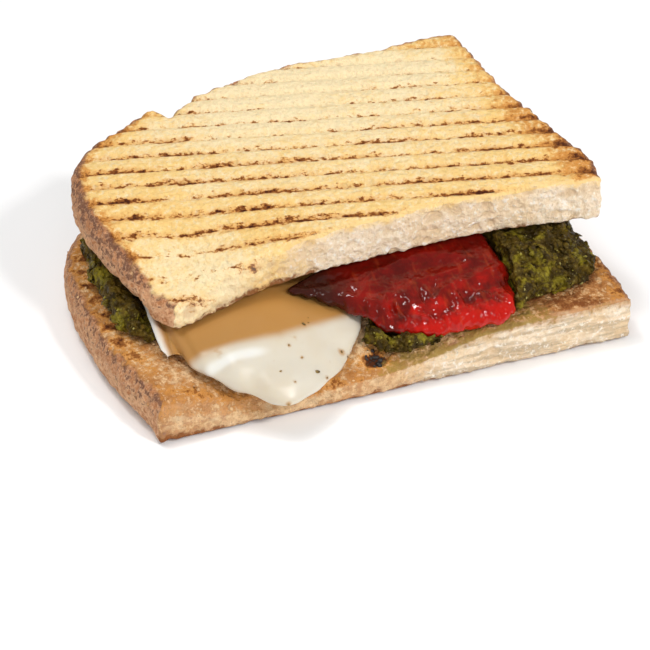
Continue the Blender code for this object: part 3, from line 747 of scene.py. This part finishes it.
def scatter(name, spots, sizes, flatness, seed, sink=0.3):
    """Many small ragged flakes and lumps in one piece, tilted and pressed into the surface."""
    chance = random.Random(seed)
    mesh = bmesh.new()
    for centre, normal in spots:
        size = (sizes[0] + (sizes[1] - sizes[0]) * chance.random() ** 2.2) * MM
        made = bmesh.ops.create_icosphere(mesh, subdivisions=1, radius=0.5 * size)["verts"]
        squash = Vector((0.7 + 0.8 * chance.random(), 0.6 + 0.5 * chance.random(),
                         flatness * (0.6 + 0.8 * chance.random())))
        for corner in made:
            corner.co *= 0.65 + 0.7 * chance.random()
        bmesh.ops.scale(mesh, vec=squash, verts=made)
        spin = Matrix.Rotation(chance.random() * math.tau, 3, "Z")
        tilt = Matrix.Rotation((chance.random() - 0.5) * 1.4, 3, "X")
        lay = normal.to_track_quat("Z", "Y").to_matrix()
        bmesh.ops.rotate(mesh, cent=(0.0, 0.0, 0.0), matrix=lay @ tilt @ spin, verts=made)
        bmesh.ops.translate(mesh, vec=centre + normal * size * flatness * sink, verts=made)
    data = bpy.data.meshes.new(name)
    mesh.to_mesh(data)
    mesh.free()
    data.shade_smooth()
    piece = bpy.data.objects.new(name, data)
    bpy.context.scene.collection.objects.link(piece)
    return piece


def speck_recipe(name, first, second, gloss):
    """A small dry or oily speck with two tones."""
    r = Recipe(name)
    tone = r.grain(420.0, 2.0)
    r.surface(Base_Color=r.tint(r.fade(tone, 0.35, 0.65), first, second),
              Roughness=r.fade(tone, 0.3, 0.7, gloss, gloss + 0.2),
              Normal=r.relief(r.grain(1400.0, 2.0), 0.0004, 0.5))
    return r


def make_toppings(looks):
    """Herb and nut grains on the pesto, spice on the cheese, crumbs on the toast, a charred clump."""
    objects = bpy.data.objects
    spots = outer_spots(objects["pesto_bed"], looks.grain_count, 71,
                        lambda place, facing: facing.z > -0.5)
    leaf = pesto_recipe("pesto_leaf", looks, False)
    finish_piece(scatter("pesto_leaves", [spot for i, spot in enumerate(spots) if i % NUT_EVERY], (0.5, 2.4),
                         0.4, 72), leaf, "pesto")
    nut = speck_recipe("pesto_nut", looks.pesto_grain_colour, looks.pesto_oily_colour, 0.45)
    finish_piece(scatter("pesto_nuts", spots[::NUT_EVERY], (0.5, 1.2), 0.6, 73), nut, "pesto")

    cheese = objects["melted_mozzarella"].data
    spots = [(vertex.co.copy(), vertex.normal.copy())
             for vertex, kept in zip(cheese.vertices, cheese.attributes["spot"].data) if kept.value == 1.0]
    spice = speck_recipe("spice", looks.spice_colour, looks.spice_pale_colour, 0.5)
    finish_piece(scatter("spice_specks", spots, (0.5, 1.6), 0.3, 75, 0.1), spice, "mozzarella")

    spots = outer_spots(objects["grilled_base"], looks.crumb_count, 76,
                        lambda place, facing: facing.z > 0.4)
    crumb = speck_recipe("bread_crumb", looks.crumb_brown_colour, looks.crumb_tan_colour, 0.6)
    finish_piece(scatter("bread_crumbs", spots, (0.4, 1.4), 0.7, 77), crumb, "crust_bread")

    def beside_cheese(place, facing):
        return facing.z > 0.2 and (place.xy - CHAR_SPOT).length < CHAR_REACH

    spots = outer_spots(objects["grilled_base"], CHARRED_FLAKES, 78, beside_cheese)
    charred = speck_recipe("charred_leaf", looks.charred_colour, looks.charred_sheen_colour, 0.4)
    finish_piece(scatter("charred_bits", spots, (0.4, 1.7), 0.4, 80), charred, "pesto")


# ---------------------------------------------------------------- stage

def make_stage(looks):
    """Pale floor, broad soft lights, two small ones that glint, and the camera."""
    mesh = bmesh.new()
    bmesh.ops.create_grid(mesh, x_segments=1, y_segments=1, size=3.0)
    data = bpy.data.meshes.new("floor")
    mesh.to_mesh(data)
    mesh.free()
    floor = bpy.data.objects.new("floor", data)
    bpy.context.scene.collection.objects.link(floor)
    r = Recipe("pale_floor")
    r.surface(Base_Color=looks.floor_colour, Roughness=0.7)
    data.materials.append(r.material)
    floor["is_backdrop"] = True

    # The broad lights are left out of reflections, so that only the two small ones glint.
    add_light("overhead_lamp", OVERHEAD, 0.14, looks.lamp_power)
    add_light("front_softbox", Vector((0.30, -0.60, 0.70)), 0.12, looks.front_power)
    for light in (add_light("overhead_softbox", OVERHEAD, 0.6, looks.key_power),
                  add_light("left_softbox", Vector((-0.50, -0.90, 0.35)), 0.8, looks.left_power),
                  add_light("right_softbox", Vector((0.80, -0.60, 0.35)), 0.6, looks.right_power)):
        light.visible_glossy = False
    world = bpy.data.worlds.new("studio_white")
    world.use_nodes = True
    background = world.node_tree.nodes["Background"]
    background.inputs["Color"].default_value = (1.0, 1.0, 1.0, 1.0)
    background.inputs["Strength"].default_value = looks.ambient
    bpy.context.scene.world = world
    bpy.context.scene.view_settings.view_transform = "Standard"

    target = Vector(looks.camera_target)
    turn, rise = looks.camera_azimuth, looks.camera_elevation
    back = Vector((math.sin(turn) * math.cos(rise), -math.cos(turn) * math.cos(rise), math.sin(rise)))
    lens = bpy.data.cameras.new("camera")
    lens.lens = looks.camera_lens
    lens.sensor_width = 36.0
    lens.clip_start = 0.01
    lens.clip_end = 20.0
    camera = bpy.data.objects.new("camera", lens)
    camera.location = target + back * looks.camera_distance
    camera.rotation_euler = (-back).to_track_quat("-Z", "Y").to_euler()
    bpy.context.scene.collection.objects.link(camera)
    bpy.context.scene.camera = camera


def add_light(name, place, size, power):
    """A square soft light that points at the sandwich."""
    data = bpy.data.lights.new(name, "AREA")
    data.shape = "SQUARE"
    data.size = size
    data.energy = power
    light = bpy.data.objects.new(name, data)
    light.location = place
    light.rotation_euler = (-place).to_track_quat("-Z", "Y").to_euler()
    bpy.context.scene.collection.objects.link(light)
    return light


# ---------------------------------------------------------------- properties, operators, panel

def colour_property(name, description, default):
    """A colour that the user can change."""
    return FloatVectorProperty(name=name, description=description, subtype="COLOR", size=3,
                               min=0.0, max=1.0, default=default)


class BreadLooks(bpy.types.PropertyGroup):
    """Sizes and colours of the two slices."""
    bread_grain: FloatProperty(
        name="Mesh grain", description="Size of the faces on the slices, in millimetres",
        default=0.54, min=0.4, max=3.0)
    pore_count: IntProperty(
        name="Pores", description="Open pores on each cut and each face", default=110, min=0, max=600)
    cream_colour: colour_property("Cream", "Palest toast between the lines", (0.94, 0.77, 0.47))
    toast_colour: colour_property("Toast", "Yellow toast", (0.92, 0.62, 0.23))
    halo_colour: colour_property("Halo", "Orange beside a grill line", (0.68, 0.30, 0.07))
    brown_colour: colour_property("Brown", "Deep browning", (0.24, 0.07, 0.015))
    char_colour: colour_property("Char", "Burnt dots and edges", (0.055, 0.014, 0.008))
    inner_pale_colour: colour_property("Inner pale", "Palest inner face", (0.84, 0.57, 0.31))
    inner_toast_colour: colour_property("Inner toast", "Toasted inner face", (0.50, 0.22, 0.07))
    inner_deep_colour: colour_property("Inner brown", "Brown inner face", (0.22, 0.07, 0.02))
    crust_colour: colour_property("Crust", "Reddish crust", (0.47, 0.20, 0.085))
    dusty_colour: colour_property("Dusty crust", "Pale flour on the crust", (0.78, 0.47, 0.27))
    scorched_crust_colour: colour_property("Scorched crust", "Dark patches", (0.13, 0.045, 0.03))
    crumb_colour: colour_property("Crumb", "Pale crumb at the cut", (0.90, 0.74, 0.55))
    crumb_shade_colour: colour_property("Crumb shade", "Warmer crumb", (0.86, 0.65, 0.42))
    crumb_light_colour: colour_property("Crumb light", "Torn edges of the crumb", (0.98, 0.90, 0.79))
    crumb_layer_colour: colour_property("Crumb layers", "Pressed layers", (0.50, 0.38, 0.25))
    # Painted shade inside pores and hollows, also the darker flecks of crumb.
    pore_shade_and_fleck_colour: colour_property("Pore", "Inside a pore", (0.74, 0.54, 0.33))
    stain_colour: colour_property("Oil stain", "Oil soaked into the crumb", (0.34, 0.23, 0.055))


class FillingLooks(bpy.types.PropertyGroup):
    """Sizes and colours of the fillings."""
    cheese_colour: colour_property("Cheese", "Off-white cheese", (0.60, 0.55, 0.455))
    cheese_shade_colour: colour_property("Cheese shade", "Creamier cheese", (0.58, 0.505, 0.385))
    # Tan of browned cheese, also used as painted shade under the lid.
    browned_and_shaded_cheese_colour: colour_property("Golden cheese", "Cheese at the hot lid", (0.40, 0.19, 0.04))
    # Whiter left lobe, also used as the painted highlight along the roll.
    white_lobe_and_highlight_cheese_colour: colour_property("Cool cheese", "Whiter lobe of cheese", (0.76, 0.76, 0.72))
    spice_colour: colour_property("Spice", "Dark spice on the cheese", (0.10, 0.06, 0.015))
    spice_pale_colour: colour_property("Pale spice", "Paler spice", (0.30, 0.20, 0.06))
    tomato_colour: colour_property("Tomato", "Red skin", (0.22, 0.005, 0.002))
    # Dark red of the skin, also used as painted shade in the wrinkles' valleys.
    tomato_dark_and_crease_shade_colour: colour_property("Dark tomato", "Dried folds", (0.09, 0.004, 0.002))
    tomato_bright_colour: colour_property("Bright tomato", "Lower, juicier skin", (0.42, 0.007, 0.003))
    tomato_thread_colour: colour_property("Tomato threads", "Orange threads", (0.62, 0.09, 0.02))
    tomato_black_colour: colour_property("Black tomato", "Its dried left end", (0.030, 0.007, 0.004))
    pesto_colour: colour_property("Pesto", "Basil green", (0.120, 0.074, 0.007))
    # Dark cooked leaf, also used as painted shade in the pesto's hollows.
    pesto_dark_and_hollow_shade_colour: colour_property("Dark pesto", "Cooked leaf", (0.034, 0.020, 0.003))
    pesto_oily_colour: colour_property("Oily pesto", "Yellow-green oil", (0.26, 0.21, 0.013))
    pesto_grain_colour: colour_property("Pesto grain", "Nut and cheese", (0.34, 0.29, 0.09))
    charred_colour: colour_property("Charred leaf", "Burnt pesto", (0.012, 0.010, 0.009))
    charred_sheen_colour: colour_property("Charred sheen", "Greyer burnt pesto", (0.05, 0.04, 0.035))
    crumb_brown_colour: colour_property("Brown crumbs", "Darker crumbs", (0.40, 0.19, 0.07))
    crumb_tan_colour: colour_property("Tan crumbs", "Paler crumbs", (0.74, 0.48, 0.24))
    grain_count: IntProperty(
        name="Pesto grains", description="Grains on the open pesto", default=2000, min=0, max=8000)
    spice_count: IntProperty(
        name="Spice specks", description="Specks on the cheese", default=12, min=0, max=400)
    crumb_count: IntProperty(
        name="Crumbs", description="Crumbs on the lower slice", default=90, min=0, max=1000)


class StageLooks(bpy.types.PropertyGroup):
    """Floor, light and camera."""
    floor_colour: colour_property("Floor", "Pale floor", (0.95, 0.95, 0.95))
    key_power: FloatProperty(name="Key light", description="Power overhead", default=3.6, unit="POWER")
    lamp_power: FloatProperty(name="Small lamp", description="Power of the small overhead lamp", default=1.4,
                              unit="POWER")
    front_power: FloatProperty(name="Front light", description="Power in front", default=3.4, unit="POWER")
    left_power: FloatProperty(name="Left light", description="Power at the left", default=4.2, unit="POWER")
    right_power: FloatProperty(
        name="Right light", description="Power at the right", default=2.8, unit="POWER")
    ambient: FloatProperty(name="Ambient", description="Strength of the white surroundings", default=0.32)
    camera_azimuth: FloatProperty(
        name="Azimuth", description="Camera's turn about the sandwich", default=math.radians(-21.0),
        unit="ROTATION")
    camera_elevation: FloatProperty(
        name="Elevation", description="Camera's angle above the floor", default=math.radians(36.0),
        unit="ROTATION")
    camera_distance: FloatProperty(
        name="Distance", description="From the camera to the sandwich", default=0.65, unit="LENGTH")
    camera_lens: FloatProperty(name="Lens", description="Focal length in millimetres", default=133.2)
    camera_target: FloatVectorProperty(
        name="Target", description="Where the camera looks", default=(-0.01523, -0.03953, 0.020),
        subtype="TRANSLATION", unit="LENGTH", size=3)


class SANDWICH_OT_base(bpy.types.Operator):
    """Make the lower slice of bread"""
    bl_idname = "sandwich.base"
    bl_label = "Lower Slice"

    def execute(self, context):
        make_base(context.scene.sandwich_bread)
        return {"FINISHED"}


class SANDWICH_OT_pesto(bpy.types.Operator):
    """Make the bed of pesto"""
    bl_idname = "sandwich.pesto"
    bl_label = "Pesto"

    def execute(self, context):
        make_pesto(context.scene.sandwich_fillings)
        return {"FINISHED"}


class SANDWICH_OT_mozzarella(bpy.types.Operator):
    """Make the melted mozzarella"""
    bl_idname = "sandwich.mozzarella"
    bl_label = "Mozzarella"

    def execute(self, context):
        make_mozzarella(context.scene.sandwich_fillings)
        return {"FINISHED"}


class SANDWICH_OT_tomato(bpy.types.Operator):
    """Make the semi-dried tomato"""
    bl_idname = "sandwich.tomato"
    bl_label = "Tomato"

    def execute(self, context):
        make_tomato(context.scene.sandwich_fillings)
        return {"FINISHED"}


class SANDWICH_OT_lid(bpy.types.Operator):
    """Make the grilled upper slice of bread"""
    bl_idname = "sandwich.lid"
    bl_label = "Upper Slice"

    def execute(self, context):
        make_lid(context.scene.sandwich_bread)
        return {"FINISHED"}


class SANDWICH_OT_toppings(bpy.types.Operator):
    """Scatter grains, spice and crumbs"""
    bl_idname = "sandwich.toppings"
    bl_label = "Grains and Crumbs"

    def execute(self, context):
        make_toppings(context.scene.sandwich_fillings)
        return {"FINISHED"}


class SANDWICH_OT_stage(bpy.types.Operator):
    """Set the floor, the lights and the camera"""
    bl_idname = "sandwich.stage"
    bl_label = "Stage"

    def execute(self, context):
        make_stage(context.scene.sandwich_stage)
        return {"FINISHED"}


STEPS = (SANDWICH_OT_base, SANDWICH_OT_pesto, SANDWICH_OT_mozzarella, SANDWICH_OT_tomato,
         SANDWICH_OT_lid, SANDWICH_OT_toppings, SANDWICH_OT_stage)


class SANDWICH_PT_panel(bpy.types.Panel):
    """Everything that makes the sandwich"""
    bl_idname = "SANDWICH_PT_panel"
    bl_label = "Grilled Sandwich"
    bl_space_type = "VIEW_3D"
    bl_region_type = "UI"
    bl_category = "Sandwich"

    def draw(self, context):
        for group in ("sandwich_bread", "sandwich_fillings", "sandwich_stage"):
            box = self.layout.box()
            looks = getattr(context.scene, group)
            for name in looks.__annotations__:
                box.prop(looks, name)
        for step in STEPS:
            self.layout.operator(step.bl_idname)


GROUPS = (("sandwich_bread", BreadLooks), ("sandwich_fillings", FillingLooks),
          ("sandwich_stage", StageLooks))


def register():
    """Add the classes and the scene's properties."""
    for name, group in GROUPS:
        bpy.utils.register_class(group)
        setattr(bpy.types.Scene, name, PointerProperty(type=group))
    for step in STEPS:
        bpy.utils.register_class(step)
    bpy.utils.register_class(SANDWICH_PT_panel)


def unregister():
    """Take the classes and the properties away again."""
    bpy.utils.unregister_class(SANDWICH_PT_panel)
    for step in reversed(STEPS):
        bpy.utils.unregister_class(step)
    for name, group in reversed(GROUPS):
        delattr(bpy.types.Scene, name)
        bpy.utils.unregister_class(group)


def main():
    """Build every piece and the stage."""
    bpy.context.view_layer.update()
    register()
    bpy.ops.sandwich.base()
    bpy.ops.sandwich.pesto()
    bpy.ops.sandwich.mozzarella()
    bpy.ops.sandwich.tomato()
    bpy.ops.sandwich.lid()
    bpy.ops.sandwich.toppings()
    bpy.ops.sandwich.stage()


if __name__ == "__main__":
    main()
